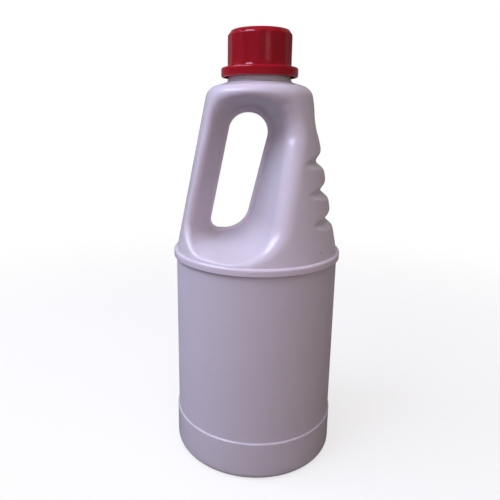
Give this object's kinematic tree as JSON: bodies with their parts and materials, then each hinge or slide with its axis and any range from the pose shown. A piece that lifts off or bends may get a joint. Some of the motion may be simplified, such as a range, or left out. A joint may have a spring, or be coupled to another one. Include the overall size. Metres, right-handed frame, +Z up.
{
  "type": "handled plastic bottle",
  "caption": "Round blow-moulded bottle with a tapered top, a hollow through-handle, finger grooves opposite it and a fluted screw cap with a sealing wad.",
  "frame": {"origin": "centre of the base, in the plane that the bottle stands on", "axes": "+Z up along the bottle's axis, handle towards -X, finger grooves towards +X"},
  "size_m": [0.096, 0.096, 0.2402],
  "materials": {
    "bottle": "glossy white, faintly lilac polyethylene",
    "cap": "glossy red polypropylene",
    "liner": "matt white foam"
  },
  "bodies": {
    "bottle": {"bottle": "bottle"},
    "cap_carrier": {"cap_liner": "liner"},
    "cap": {"cap": "cap"}
  },
  "joints": [
    {"name": "cap_lift", "type": "slide", "parent": "bottle", "child": "cap_carrier", "axis": [0, 0, 1], "range_m": [0, 0.0212]},
    {"name": "cap_turn", "type": "hinge", "parent": "cap_carrier", "child": "cap", "pos_m": [0, 0, 0.2384], "axis": [0, 0, 1], "range_deg": [0, 1800]}
  ],
  "couplings": [
    {"joint": "cap_lift", "follows": "cap_turn", "m_per_rad": 0.00066845}
  ]
}
